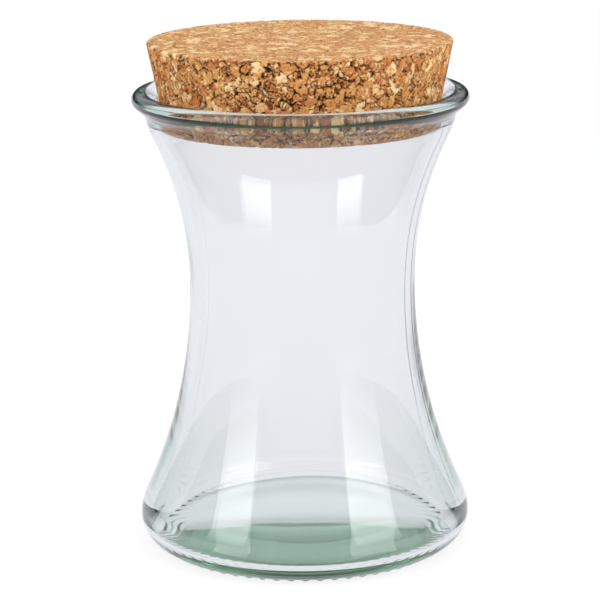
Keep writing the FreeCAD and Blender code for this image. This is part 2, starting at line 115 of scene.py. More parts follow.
class GlassJarSettings(bpy.types.PropertyGroup):
    """Half section of the blown glass, its mould marks and its tint."""

    bead_radius: length("Bead radius", JAR_HIGH.x, "Rolled bead of the mouth")
    crest_height: length("Crest height", JAR_HIGH.z, "Top of the mouth")
    bead_round: length("Bead rounding", 0.0019, "Rounding at the top of the bead")
    band_drop: length("Band", 0.0029, "Lower end of the bead's upright band below the crest")
    band_round: length("Band rounding", 0.0018, "Rounding between band and underside")
    bead_depth: length("Bead depth", 0.0058, "Lower end of the bead below the crest")
    bead_overhang: length("Bead overhang", 0.0033, "Bead beyond the top of the collar")
    collar_drop: length("Collar", 0.0102, "Lower end of the collar below the crest")
    collar_spread: length("Collar spread", 0.0012, "Growth of the collar up to the bead")
    crest_land: length("Crest land", 0.0018, "Flat crest inside the bead's rounding")
    lip_width: length("Lip width", 0.00344, "Funnel-shaped lip between crest and bore")
    lip_rise: length("Lip rise", 0.0028, "Height of the lip")
    lip_round: length("Lip rounding", 0.0008, "Rounding that the cork sits on")
    bore_length: length("Bore", 0.0057, "Upright bore below the lip")
    waist_radius: length("Waist radius", 0.02977, "Narrowest place outside")
    waist_height: length("Waist height", 0.0711, "Height of the narrowest place")
    waist_wall: length("Waist wall", 0.0028, "Glass at the waist")
    heel_radius: length("Heel radius", 0.0441, "Widest place of the foot")
    heel_height: length("Heel height", 0.0076, "Height of the widest place")
    heel_shoulder: length("Heel shoulder", 0.01285, "Rounding above the widest place")
    heel_wall: length("Heel wall", 0.004, "Glass at the widest place of the cavity")
    floor_edge: length("Floor edge", 0.0038, "Height of the floor's edge inside")
    floor_corner: length("Floor corner", 0.0025, "Rounding between floor and wall")
    floor_crown: length("Floor crown", 0.004, "Rise of the floor to its middle")
    ring_edge: length("Foot ring", 0.0365, "Outer edge of the flat foot ring")
    ring_width: length("Foot ring width", 0.0055, "Width of the flat foot ring")
    bevel_width: length("Foot bevel", 0.0027, "Bevel outside the foot ring")
    bevel_rise: length("Foot bevel rise", 0.0005, "Height of the foot bevel")
    push_up: length("Push-up", 0.0002, "Hollow under the floor")
    knurl_count: count("Knurl bars", 64, "Bars under the foot")
    knurl_inner: length("Knurl inner end", 0.033, "Inner ends of the bars")
    knurl_outer: length("Knurl outer end", 0.0392, "Outer ends of the bars")
    knurl_fade: length("Knurl end", 0.0008, "Length over which a bar's end dies away")
    knurl_depth: length("Knurl depth", 0.00004, "Depth between the bars on the foot ring")
    seam_azimuth: angle("Mould seam", 73, "Seam of the body mould, from the front to the right")
    seam_height: length("Seam ridge", 0.00004, "Height of the seam's ridge")
    seam_width: length("Seam width", 0.00028, "Half width of the seam's ridge")
    wave: length("Wall wave", 0.00007, "Unevenness of the wall inside")
    columns: count("Columns", 512, "Steps round the jar")
    tint: FloatVectorProperty(
        name="Glass tint",
        description="Colour that thick glass takes on",
        default=(0.05, 0.44, 0.19),
        subtype="COLOR",
        min=0,
        max=1,
    )
    tint_density: amount("Tint density", 23.0, "Strength of the tint per metre")


class CorkLidSettings(bpy.types.PropertyGroup):
    """Tapered lid of pressed cork granules."""

    base_radius: length("Base radius", 0.035612, "Narrow end")
    top_radius: length("Top radius", CORK_HIGH.x + CORK_EDGE_LOSS, "Wide end")
    base_height: length("Base height", CORK_LOW.z, "Height of the narrow end")
    top_height: length("Top height", CORK_HIGH.z, "Height of the wide end")
    top_edge: length("Top edge", 0.0005, "Worn upper edge")
    base_edge: length("Base edge", 0.001, "Chamfer of the lower edge")
    granule: length("Granule", 0.0026, "Size of the coarse granules")
    crumb: length("Crumb", 0.0011, "Size of the fine granules")
    crumb_share: amount("Crumb share", 0.5, "Part of the volume that is fine granules")
    pit_length: length("Pit length", 0.0024, "Length of the larger pits")
    pit_width: length("Pit width", 0.0017, "Width of the larger pits")
    pit_depth: length("Pit depth", 0.0006, "Depth of the larger pits")
    nick_depth: length("Nick depth", 0.0006, "Depth of the small pits between granules")
    crumb_nicks: amount("Crumb nicks", 0.62, "Size of the pits between fine granules")
    joint_depth: length("Joint depth", 0.00005, "Depth of the closed joints")
    unevenness: length("Unevenness", 0.00006, "Step from granule to granule")
    lean: amount("Lean", 0.12, "Slope of the granules' faces")
    sanding: amount("Sanding", 0.85, "Part of that slope that the sanded top has lost")
    joint_shade: amount("Joint shade", 0.12, "Darkness of the closed joints")
    columns: count("Columns", 1000, "Steps round the cork")
    seed: count("Seed", 31, "Start of the random granules")
    dark_granule: colour("Dark granule", (138, 78, 36), "Bark-brown granules")
    red_granule: colour("Red granule", (188, 112, 60), "Reddish granules")
    tan_granule: colour("Tan granule", (198, 135, 74), "Most of the granules")
    golden_granule: colour("Golden granule", (210, 152, 88), "Lighter granules")
    pale_granule: colour("Pale granule", (240, 204, 152), "Pale flakes")
    sanded: colour("Sanded cork", (240, 210, 172), "Tone that the sanded top leans to")
    # Painted shade: pits and nicks take this colour in place of the shade inside them. Dark joints
    # and flecks also mix towards it as their own darker tone.
    pit: colour("Pit", (44, 18, 6), "Shaded pits")


class StageSettings(bpy.types.PropertyGroup):
    """Floor, light and camera."""

    camera_distance: length("Camera distance", 0.68, "Camera in front of the jar's axis")
    camera_height: length("Camera height", 0.2277, "Camera above the floor")
    aim_height: length("Aim height", 0.06534, "Height of the point aimed at")
    aim_side: length("Aim side", -0.00069, "Point aimed at, sideways of the axis")
    roll: angle("Camera roll", 0.6326, "Lean of the camera")
    lens: amount("Lens", 157.66, "Focal length in millimetres")
    sensor: amount("Sensor", 36.0, "Sensor width in millimetres")
    floor_size: length("Floor size", 12.0, "Side of the floor")
    floor_drop: length("Floor drop", 0.00005, "Floor below the foot")
    softbox_distance: length("Softbox distance", 0.6, "Softboxes from the jar's axis")
    softbox_height: length("Softbox height", 1.0, "Height of each softbox")
    softbox_lift: length("Softbox lift", 0.505, "Middle of each softbox above the floor")
    softbox_feather: amount("Softbox feather", 0.22, "Share of its height over which one fades")
    softbox_radiance: amount("Softbox radiance", 3.4, "Brightness of each softbox")
    left_azimuth: angle("Left softbox", -55, "Left softbox, from the front to the right")
    left_width: length("Left softbox width", 0.3, "Width of the left softbox")
    right_azimuth: angle("Right softbox", 51, "Right softbox, from the front to the right")
    right_width: length("Right softbox width", 0.37, "Width of the right softbox")
    fill: amount("Fill", 0.36, "Light from all round, level with the jar")
    fill_overhead: amount("Overhead fill", 1.0, "Light from straight above")
    floor_glow: amount("Floor glow", 0.8, "Even white of the floor")
    floor_shade: amount("Floor shade", 0.24, "Part of the floor that takes shadows")
    seen_through: colour("Seen through", (250, 245, 255), "Floor and backdrop in the glass")
    wall: colour("Wall", (10, 48, 40), "Dark studio wall in the glass")
    ceiling: colour("Ceiling", (200, 204, 208), "Studio high up, in the glass")
    wall_top: amount("Wall's top", 0.5, "Rise at which the wall has gone over to the ceiling")
    backdrop_edge: amount("Backdrop's edge", 0.3, "Share to the back at which the backdrop starts")
    backdrop_full: amount("Backdrop", 0.75, "Share to the back from which all is backdrop")
    backdrop_foot: amount("Backdrop's foot", 0.13, "Rise at which the backdrop starts")
    backdrop_head: amount("Backdrop's head", 0.3, "Rise from which the backdrop is full")
    front_edge: amount("Front's edge", 0.55, "Share to the front at which the pale front starts")
    front_full: amount("Front", 0.95, "Share to the front from which all is pale")


class JarSceneSettings(bpy.types.PropertyGroup):
    """All settings of the scene."""

    glass: PointerProperty(type=GlassJarSettings)
    cork: PointerProperty(type=CorkLidSettings)
    stage: PointerProperty(type=StageSettings)


# Outlines


def run(start, end, step):
    """Points on a straight stretch, without its end."""
    start, end = np.array(start), np.array(end)
    steps = max(2, round(np.linalg.norm(end - start) / step))
    share = np.arange(steps)[:, None] / steps
    return start + (end - start) * share


def bow(centre, start, end, step):
    """Points on the shorter arc about a centre, without its end."""
    centre = np.array(centre)
    first, last = np.array(start) - centre, np.array(end) - centre
    radius = np.linalg.norm(first)
    begin = math.atan2(first[1], first[0])
    turn = math.atan2(last[1], last[0]) - begin
    turn = (turn + math.pi) % (2 * math.pi) - math.pi
    steps = max(2, round(abs(turn) * radius / step))
    turns = begin + turn * np.arange(steps) / steps
    return centre + radius * np.stack([np.cos(turns), np.sin(turns)], axis=1)


def soften(points, passes):
    """Round the corners of an outline a little; its ends stay."""
    points = points.copy()
    for _ in range(passes):
        middle = (points[:-2] + points[2:]) / 2
        points[1:-1] += (middle - points[1:-1]) / 2
    return points


def waist_arcs(waist, foot_centre, foot_radius, top):
    """Centres of the two arcs that meet at the waist, and where the lower one leaves the foot."""
    drop = waist[1] - foot_centre[1]
    gap = waist[0] - foot_centre[0]
    lower = (drop**2 + gap**2 - foot_radius**2) / (2 * (foot_radius - gap))
    lower_centre = np.array([waist[0] + lower, waist[1]])
    towards = lower_centre - np.array(foot_centre)
    leave = np.array(foot_centre) + foot_radius * towards / np.linalg.norm(towards)
    rise, spread = top[1] - waist[1], top[0] - waist[0]
    upper = (rise**2 + spread**2) / (2 * spread)
    return lower_centre, leave, (waist[0] + upper, waist[1])


# Steps along an outline, and passes that round its corners.
FINE, MEDIUM, COARSE = 0.00025, 0.0005, 0.0016
CORK_STEP = 0.00025
SOFTENING_PASSES = 5


def glass_outline(s):
    """Half section of the glass, from under the floor, over the crest, to the floor inside."""
    top = s.crest_height
    inner_ring = s.ring_edge - s.ring_width
    dome = (inner_ring**2 + s.push_up**2) / (2 * s.push_up)
    bevel = (s.ring_edge + s.bevel_width, s.bevel_rise)
    heel = (s.heel_radius, s.heel_height)
    across, up = heel[0] - bevel[0], heel[1] - bevel[1]
    foot = (across**2 + up**2) / (2 * across)
    hip_centre = (s.heel_radius - s.heel_shoulder, s.heel_height)
    waist = (s.waist_radius, s.waist_height)
    collar_top = s.bead_radius - s.bead_overhang
    collar = (collar_top - s.collar_spread, top - s.collar_drop)
    low, leave, high = waist_arcs(waist, hip_centre, s.heel_shoulder, collar)
    band = (s.bead_radius, top - s.band_drop)
    neck = (collar_top, top - s.bead_depth)
    tuck = (neck[0] - band[0], neck[1] - band[1])
    tuck_length = math.hypot(*tuck)
    turn = math.atan2(-tuck[0], -tuck[1])
    ease = s.band_round * math.tan(turn / 2)
    band_end = (band[0], band[1] + ease)
    tuck_start = (band[0] + tuck[0] / tuck_length * ease, band[1] + tuck[1] / tuck_length * ease)
    band_centre = (band[0] - s.band_round, band[1] + ease)
    crest = s.bead_radius - s.bead_round
    lip = (crest - s.crest_land, top)
    bore, bore_top = lip[0] - s.lip_width, top - s.lip_rise
    bore_end = (bore, bore_top - s.bore_length)
    lip_turn = math.atan2(s.lip_width, s.lip_rise)
    lip_ease = s.lip_round * math.tan(lip_turn / 2)
    lip_end = (bore + lip_ease * math.sin(lip_turn), bore_top + lip_ease * math.cos(lip_turn))
    bore_start = (bore, bore_top - lip_ease)
    lip_centre = (bore + s.lip_round, bore_start[1])
    inner_waist = (s.waist_radius - s.waist_wall, s.waist_height)
    corner = (s.heel_radius - s.heel_wall - s.floor_corner, s.floor_edge + s.floor_corner)
    in_low, in_leave, in_high = waist_arcs(inner_waist, corner, s.floor_corner, bore_end)
    floor_rim = (corner[0], s.floor_edge)
    crown = (0.0, s.floor_edge + s.floor_crown)
    floor_r = (corner[0] ** 2 + s.floor_crown**2) / (2 * s.floor_crown)
    return np.concatenate([
        bow((0, s.push_up - dome), (0, s.push_up), (inner_ring, 0), COARSE),
        run((inner_ring, 0), (s.ring_edge, 0), MEDIUM),
        run((s.ring_edge, 0), bevel, FINE),
        bow((heel[0] - foot, heel[1]), bevel, heel, MEDIUM),
        bow(hip_centre, heel, leave, MEDIUM),
        bow(low, leave, waist, COARSE),
        bow(high, waist, collar, COARSE),
        run(collar, neck, FINE),
        run(neck, tuck_start, FINE),
        bow(band_centre, tuck_start, band_end, FINE / 2),
        run(band_end, (s.bead_radius, top - s.bead_round), FINE),
        bow((crest, top - s.bead_round), (s.bead_radius, top - s.bead_round), (crest, top), FINE),
        run((crest, top), lip, FINE),
        run(lip, lip_end, FINE),
        bow(lip_centre, lip_end, bore_start, FINE / 2),
        run(bore_start, bore_end, MEDIUM),
        bow(in_high, bore_end, inner_waist, COARSE),
        bow(in_low, inner_waist, in_leave, COARSE),
        bow(corner, in_leave, floor_rim, MEDIUM),
        bow((0, crown[1] - floor_r), floor_rim, crown, COARSE),
        np.array([crown]),
    ])


def cork_outline(s):
    """Half section of the cork from the middle of its base to the middle of its top."""
    taper = (s.top_radius - s.base_radius) / (s.top_height - s.base_height)
    base, top = s.base_height, s.top_height
    side_foot = (s.base_radius + taper * s.base_edge, base + s.base_edge)
    side_head = (s.top_radius - taper * s.top_edge, top - s.top_edge)
    return np.concatenate([
        run((0, base), (s.base_radius - s.base_edge, base), COARSE),
        run((s.base_radius - s.base_edge, base), side_foot, FINE),
        run(side_foot, side_head, CORK_STEP),
        run(side_head, (s.top_radius - s.top_edge, top), FINE / 2),
        run((s.top_radius - s.top_edge, top), (0, top), CORK_STEP),
        np.array([(0, top)]),
    ])


# Meshes

# A ring smaller than this share of the spacing is a point on the axis.
ON_AXIS = 0.1
MAX_THINNING = 16


def ramp(value, start, end):
    """Smooth step from 0 at start to 1 at end."""
    share = np.clip((value - start) / (end - start), 0, 1)
    return share * share * (3 - 2 * share)


def stitch(first, first_turns, second, second_turns):
    """Faces between two rings of points, each given by its point numbers and turns."""
    if len(first) == 1:
        return [(first[0], b, a) for a, b in zip(second, np.roll(second, -1))]
    if len(second) == 1:
        return [(a, b, second[0]) for a, b in zip(first, np.roll(first, -1))]
    if len(first) == len(second):
        return list(zip(first, np.roll(first, -1), np.roll(second, -1), second))
    faces = []
    a = b = 0
    while a < len(first) or b < len(second):
        next_a = first_turns[a + 1] if a + 1 < len(first) else 2 * math.pi
        next_b = second_turns[b + 1] if b + 1 < len(second) else 2 * math.pi
        low, high = first[a % len(first)], second[b % len(second)]
        if b >= len(second) or (a < len(first) and next_a <= next_b):
            faces.append((low, first[(a + 1) % len(first)], high))
            a += 1
        else:
            faces.append((low, second[(b + 1) % len(second)], high))
            b += 1
    return faces


def ring_turns(outline, turns, spacing):
    """Turns used at each point of an outline: fewer near the axis, one on it."""
    rings = []
    for radius, _ in outline:
        if radius < spacing * ON_AXIS:
            rings.append(turns[:1])
            continue
        thin = 1
        while 2 * math.pi * radius / (len(turns) / thin) < spacing and thin < MAX_THINNING:
            thin *= 2
        rings.append(turns[::thin])
    return rings


def lathe(outline, rings):
    """Points as radius, height and turn, with the ring each lies on, and the faces between them."""
    numbers, start = [], 0
    for turns in rings:
        numbers.append(np.arange(start, start + len(turns)))
        start += len(turns)
    faces = []
    for low, high, low_turns, high_turns in zip(numbers, numbers[1:], rings, rings[1:]):
        faces += stitch(low, low_turns, high, high_turns)
    row = np.repeat(np.arange(len(rings)), [len(turns) for turns in rings])
    return outline[row, 0], outline[row, 1], np.concatenate(rings), row, faces


def outward(outline):
    """Unit normals of an outline that is walked with the material on its left."""
    along = np.gradient(outline, axis=0)
    normal = np.stack([along[:, 1], -along[:, 0]], axis=1)
    return normal / np.linalg.norm(normal, axis=1)[:, None]


def new_piece(name, points, faces, material):
    """Smooth-shaded mesh object in the scene."""
    mesh = bpy.data.meshes.new(name)
    mesh.from_pydata(points.tolist(), [], [tuple(map(int, face)) for face in faces])
    mesh.polygons.foreach_set("use_smooth", [True] * len(mesh.polygons))
    mesh.validate()
    mesh.update()
    mesh.materials.append(material)
    piece = bpy.data.objects.new(name, mesh)
    bpy.context.scene.collection.objects.link(piece)
    return piece


def add_attribute(piece, name, values):
    """Store one value for each point of a piece, for its material."""
    layer = piece.data.attributes.new(name, "FLOAT", "POINT")
    layer.data.foreach_set("value", values.astype(np.float32))


def place(radius, height, turn):
    """Points in space from radius, height and turn."""
    return np.stack([radius * np.cos(turn), radius * np.sin(turn), height], axis=1)


# Turn of the side that faces the viewer.
FRONT = -math.pi / 2
# Where in its wave a knurl bar starts and where it is full.
BAR_START, BAR_FULL = 0.3, 0.75
# Extra points across a seam: how many, over how many seam widths to each side.
SEAM_POINTS, SEAM_REACH = 13, 2
TURN_DECIMALS = 6
# Smallest spacing round the glass, as a share of the foot ring's, and round the cork, of its step.
GLASS_THINNING, CORK_THINNING = 0.6, 0.7
# Waves of the wall inside: share, number round the jar, turn for each metre of height, start.
WALL_WAVES = ((1.0, 2, 40, 0), (0.6, 3, -90, 1), (0.4, 5, 150, 2))


def seam_ridge(turn, radius, azimuth, s):
    """Profile of a mould seam across the surface: 1 on the seam, 0 away from it."""
    off = (turn - FRONT - azimuth + math.pi) % (2 * math.pi) - math.pi
    return np.exp(-((off * radius / s.seam_width) ** 2))


def knurled(radius, height, turn, s):
    """Height of the foot with its ring of bars: level with the floor on a bar, higher between."""
    wave = 0.5 + 0.5 * np.cos(s.knurl_count * (turn - FRONT))
    bar = ramp(wave, BAR_START, BAR_FULL)
    bar *= ramp(radius, s.knurl_outer, s.knurl_outer - s.knurl_fade)
    groove = ramp(radius, s.knurl_inner - s.knurl_fade, s.knurl_inner)
    groove *= ramp(radius, s.knurl_outer, s.ring_edge)
    return (height + s.knurl_depth * groove) * (1 - bar)


def jar_turns(s):
    """Turns round the jar, closer together on the two mould seams."""
    even = np.arange(s.columns) * 2 * math.pi / s.columns
    near = np.linspace(-SEAM_REACH, SEAM_REACH, SEAM_POINTS) * s.seam_width / s.waist_radius
    seams = [FRONT + s.seam_azimuth, FRONT + s.seam_azimuth + math.pi]
    extra = np.concatenate([near + seam for seam in seams]) % (2 * math.pi)
    return even, np.unique(np.concatenate([even, extra]).round(TURN_DECIMALS))


def blow_glass(s):
    """Points and faces of the glass: a turned wall with knurls, seams and an uneven inside."""
    outline = soften(glass_outline(s), SOFTENING_PASSES)
    crest_row = int(np.argmax(outline[:, 1]))
    even, full = jar_turns(s)
    spacing = 2 * math.pi * s.ring_edge / s.columns * GLASS_THINNING
    rings = ring_turns(outline, even, spacing)
    wall = (outline[:, 1] > s.bevel_rise) & (np.arange(len(outline)) < crest_row)
    rings = [full if is_wall else turns for is_wall, turns in zip(wall, rings)]
    radius, height, turn, row, faces = lathe(outline, rings)
    outside = row < crest_row
    foot = outside & (height < 2 * s.bevel_rise) & (radius > s.ring_edge - s.ring_width)
    height = np.where(foot, knurled(radius, height, turn, s), height)
    body = ramp(height, s.heel_height, 2 * s.heel_height)
    body *= ramp(height, s.crest_height - s.bead_depth, s.crest_height - s.collar_drop)
    ridge = seam_ridge(turn, radius, s.seam_azimuth, s)
    ridge += seam_ridge(turn, radius, s.seam_azimuth + math.pi, s)
    radius = radius + np.where(outside, s.seam_height * ridge * body, 0)
    mouth = s.lip_rise + s.bore_length
    inside = (row > crest_row) & (height < s.crest_height - mouth)
    uneven = np.zeros(len(turn))
    for share, number, twist, start in WALL_WAVES:
        uneven += share * np.cos(number * turn + twist * height + start)
    fade = ramp(height, s.floor_edge, 3 * s.floor_edge)
    fade *= ramp(height, s.crest_height - mouth, s.crest_height - 2 * mouth)
    radius = radius + np.where(inside, s.wave * uneven * fade, 0)
    return place(radius, height, turn), faces


# Range of a granule's middle in its cell, and its strongest squeeze.
MIDDLE_RANGE = (0.05, 0.95)
MAX_SQUEEZE = 2.2


class Granules:
    """Random granules in a box, each squeezed along its own direction."""

    def __init__(self, low, high, size, seed):
        draw = np.random.default_rng(seed)
        self.size = size
        self.low = np.array(low) - 2 * size
        shape = tuple(np.ceil((np.array(high) - self.low) / size).astype(int) + 2)
        self.middle = draw.uniform(*MIDDLE_RANGE, shape + (3,))
        axis = draw.normal(size=shape + (3,))
        self.axis = axis / np.linalg.norm(axis, axis=-1, keepdims=True)
        self.squeeze = draw.uniform(0, MAX_SQUEEZE, shape)
        self.tone = draw.random(shape)
        self.step = draw.random(shape)

    def at(self, points):
        """Distances to the three nearest granules, and the nearest one's tone, step and slope."""
        spot = (points - self.low) / self.size
        home = np.floor(spot).astype(int)
        near = np.full((3, len(points)), np.inf)
        tone, step, slope = np.zeros((3, len(points)))
        for offset in itertools.product((-1, 0, 1), repeat=3):
            cell = tuple((home + offset).T)
            away = spot - home - offset - self.middle[cell]
            along = np.sum(away * self.axis[cell], axis=1)
            far = np.sqrt(np.sum(away**2, axis=1) + self.squeeze[cell] * along**2)
            first = far < near[0]
            tone = np.where(first, self.tone[cell], tone)
            step = np.where(first, self.step[cell], step)
            slope = np.where(first, along, slope)
            near = np.sort(np.vstack([near, far]), axis=0)[:3]
        return near * self.size, tone, step, slope * self.size


class Drift:
    """Smooth random field with values about 0."""

    def __init__(self, low, high, size, seed):
        self.size, self.low = size, np.array(low) - size
        shape = tuple(np.ceil((np.array(high) - self.low) / size).astype(int) + 2)
        self.knots = np.random.default_rng(seed).uniform(-1, 1, shape)

    def at(self, points):
        spot = (points - self.low) / self.size
        home = np.floor(spot).astype(int)
        share = spot - home
        share = share * share * (3 - 2 * share)
        total = np.zeros(len(points))
        for corner in itertools.product((0, 1), repeat=3):
            weight = np.prod(np.where(corner, share, 1 - share), axis=1)
            total += weight * self.knots[tuple((home + corner).T)]
        return total


# Rings of larger pits on the cork's top: share of the wide radius, number of pits.
TOP_PITS = ((0.1, 3), (0.33, 9), (0.55, 15), (0.78, 22))
# Rows of them on its side: share of the height, number of pits, turn of the first.
SIDE_PITS = ((0.52, 26, 0.0), (0.78, 26, FRONT))
PIT_SOFTNESS = 0.00022
PIT_RAGGEDNESS = 0.00022
# How far the joints bend, in granules.
JOINT_BEND = 0.18
# Looser places: patch size in granules, crumb-sized part and its size in crumbs, span.
LOOSE_PATCH, LOOSE_CRUMBS, LOOSE_CRUMB_PATCH, LOOSE_SPAN = 0.8, 0.7, 0.6, 0.6
# Small pits where granules meet: size, its spread, what sanding takes off, soft edge.
NICK_SIZE, NICK_SPREAD, NICK_SANDED, NICK_EDGE = 0.00025, 0.00013, 0.00004, 0.00008
# Width of a closed joint and of its deepest part.
JOINT_WIDTH, JOINT_BOTTOM = 0.00022, 0.00004
# Rise of the normal from which a place belongs to the top.
LEVEL = 0.9


def three_cornered(across, along, s):
    """Distance in from the edge of a pit that widens from its tip, which is at along 0."""
    flank = along / s.pit_length * s.pit_width / 2 - np.abs(across)
    return np.minimum(flank, s.pit_length - along)


def off_nearest(turn, number, start):
    """Turn from the nearest of a number of places spread evenly round the axis."""
    step = 2 * math.pi / number
    return (turn - start + step / 2) % step - step / 2


def larger_pits(radius, height, turn, top, ragged, s):
    """Depth of the larger pits as a share: rings of them on the top and rows on the side."""
    deep = np.full(len(radius), -s.pit_length)
    for share, number in TOP_PITS:
        across = off_nearest(turn, number, 0.0) * radius
        inside = three_cornered(across, radius - share * s.top_radius, s)
        deep = np.maximum(deep, np.where(top, inside, -s.pit_length))
    tall = s.top_height - s.base_height
    for share, number, start in SIDE_PITS:
        across = off_nearest(turn, number, start) * radius
        tip = s.base_height + share * tall + s.pit_length
        inside = three_cornered(across, tip - height, s)
        deep = np.maximum(deep, np.where(top, -s.pit_length, inside))
    return ramp(deep + ragged, 0, 2 * PIT_SOFTNESS)


def press_cork(s):
    """Points, faces and the granule pattern of the cork."""
    outline = cork_outline(s)
    even = np.arange(s.columns) * 2 * math.pi / s.columns
    rings = ring_turns(outline, even, CORK_STEP * CORK_THINNING)
    radius, height, turn, row, faces = lathe(outline, rings)
    flat = place(radius, height, turn)
    low, high = flat.min(axis=0) - s.granule, flat.max(axis=0) + s.granule
    bend = [Drift(low, high, s.granule / 2, s.seed + n) for n in range(3)]
    shift = np.stack([field.at(flat) for field in bend], axis=1)
    points = flat + JOINT_BEND * s.granule * shift
    coarse = Granules(low, high, s.granule, s.seed + 3)
    fine = Granules(low, high, s.crumb, s.seed + 4)
    near, tone, step, slope = coarse.at(points)
    fine_near, fine_tone, fine_step, fine_slope = fine.at(points)
    crumbly = step < s.crumb_share
    near = np.where(crumbly, np.minimum(fine_near, near[1] - near[0] + fine_near[0]), near)
    tone = np.where(crumbly, fine_tone, tone)
    slope = np.where(crumbly, fine_slope, slope)
    step = np.where(crumbly, fine_step, (step - s.crumb_share) / (1 - s.crumb_share))
    joint = near[1] - near[0]
    open_joint = near[2] - near[0]
    loose = Drift(low, high, s.granule * LOOSE_PATCH, s.seed + 5).at(points)
    crumbs = Drift(low, high, s.crumb * LOOSE_CRUMB_PATCH, s.seed + 6)
    loose += LOOSE_CRUMBS * crumbs.at(points)
    side = outward(outline)[row]
    upright = np.abs(side[:, 1])
    need = NICK_SIZE + NICK_SPREAD * loose - NICK_SANDED * upright
    need = np.where(crumbly, need * s.crumb_nicks, need)
    nick = ramp(open_joint, need + NICK_EDGE, need - NICK_EDGE)
    ragged = PIT_RAGGEDNESS * loose
    hole = larger_pits(radius, height, turn, side[:, 1] > LEVEL, ragged, s)
    crack = ramp(joint, JOINT_WIDTH, JOINT_BOTTOM) * ramp(loose, -LOOSE_SPAN, LOOSE_SPAN)
    sunk = np.maximum(s.pit_depth * hole, s.nick_depth * nick)
    sunk += s.joint_depth * crack + s.unevenness * step
    sunk += s.lean * np.abs(slope) * (1 - s.sanding * upright)
    radius = np.maximum(radius - side[:, 0] * sunk, 0)
    height = height - side[:, 1] * sunk
    # The pit mark tells the material where to paint shade into the pits; tone, crack and sanded are
    # the cork's own colour.
    marks = {"tone": tone, "pit": np.maximum(hole, nick), "crack": crack, "sanded": upright}
    return place(radius, height, turn), faces, marks


# Materials

GLASS_RIPPLE = {"Scale": 60.0, "Detail": 1.5, "Roughness": 0.4}
GLASS_RELIEF = {"Strength": 0.35, "Distance": 0.00012}
CORK_GRAIN = {"Scale": 1900.0, "Detail": 4.0, "Roughness": 0.7}
CORK_PATCHES = {"Scale": 520.0, "Detail": 3.0, "Roughness": 0.6}
CORK_RELIEF = {"Strength": 0.6, "Distance": 0.0002}
# Places of the granules' tones, from dark to pale, and how far patches swing them.
TONE_STOPS = (0.0, 0.14, 0.42, 0.82, 1.0)
TONE_SWING = 1.2
# How much the sanded top is paler.
SANDED_SHARE = 0.16
# Specks in the granules: scale, seed, noise at which one starts and is full.
FLAKES = (800.0, 3.0, 0.58, 0.63)
FLECKS = (1000.0, 8.0, 0.585, 0.64)
FLAKE_COVER = 0.7
# Darkness of the flecks, and what the sanded top has lost of it.
FLECK_SHADE, FLECK_SANDED = 0.9, 0.35
CORK_ROUGHNESS, CORK_ROUGHNESS_SWING = 0.72, 0.2
FLOOR_PAPER = 0.8


def new_material(name):
    """Empty node material and its tree."""
    material = bpy.data.materials.new(name)
    material.use_nodes = True
    material.node_tree.nodes.clear()
    return material, material.node_tree


def node(tree, kind, **inputs):
    """Node with its unlinked inputs set by name, spaces written as underscores."""
    made = tree.nodes.new(kind)
    for name, value in inputs.items():
        made.inputs[name.replace("_", " ")].default_value = value
    return made


def link(tree, source, target):
    """Join an output to an input."""
    tree.links.new(source, target)


def maths(tree, operation, first, second):
    """Math node on two values, each a socket or a number."""
    made = tree.nodes.new("ShaderNodeMath")
    made.operation = operation
    for socket, value in zip(made.inputs, (first, second)):
        if hasattr(value, "is_linked"):
            link(tree, value, socket)
        else:
            socket.default_value = value
    return made.outputs["Value"]


def rgba(rgb):
    """Colour with full cover."""
    return (*rgb, 1.0)


def grey(value):
    """Neutral colour with full cover."""
    return (value, value, value, 1.0)


def mix_shaders(tree, factor, first, second):
    """Shader that is the first at factor 0 and the second at factor 1."""
    made = tree.nodes.new("ShaderNodeMixShader")
    for socket, source in zip(made.inputs, (factor, first, second)):
        link(tree, source, socket)
    return made.outputs["Shader"]


def glass_material(s):
    """Clear glass, green in thick places, with the faint ripple of a blown wall."""
    material, tree = new_material("clear_glass")
    out = node(tree, "ShaderNodeOutputMaterial")
    glass = node(
        tree,
        "ShaderNodeBsdfPrincipled",
        Base_Color=grey(1),
        Roughness=0.0,
        IOR=1.5,
        Transmission_Weight=1.0,
    )
    where = node(tree, "ShaderNodeTexCoord")
    ripple = node(tree, "ShaderNodeTexNoise", **GLASS_RIPPLE)
    bump = node(tree, "ShaderNodeBump", **GLASS_RELIEF)
    link(tree, where.outputs["Object"], ripple.inputs["Vector"])
    link(tree, ripple.outputs["Fac"], bump.inputs["Height"])
    link(tree, bump.outputs["Normal"], glass.inputs["Normal"])
    body = node(tree, "ShaderNodeVolumeAbsorption", Color=rgba(s.tint), Density=s.tint_density)
    link(tree, glass.outputs["BSDF"], out.inputs["Surface"])
    link(tree, body.outputs["Volume"], out.inputs["Volume"])
    return material


def colour_mix(tree, blend, factor, first, second):
    """Mix node of two colours, each a socket or a colour, and its result."""
    made = tree.nodes.new("ShaderNodeMix")
    made.data_type, made.blend_type = "RGBA", blend
    for number, value in ((0, factor), (6, first), (7, second)):
        if hasattr(value, "is_linked"):
            link(tree, value, made.inputs[number])
        else:
            made.inputs[number].default_value = value
    return made.outputs[2]


def speckle(tree, where, scale, seed, low, high):
    """Random specks: 1 in a speck, 0 between them."""
    noise = node(tree, "ShaderNodeTexNoise", Scale=scale, Detail=2.0, Roughness=0.55)
    noise.noise_dimensions = "4D"
    noise.inputs["W"].default_value = seed
    link(tree, where.outputs["Object"], noise.inputs["Vector"])
    step = node(tree, "ShaderNodeMapRange", From_Min=low, From_Max=high)
    link(tree, noise.outputs["Fac"], step.inputs["Value"])
    return step.outputs["Result"]


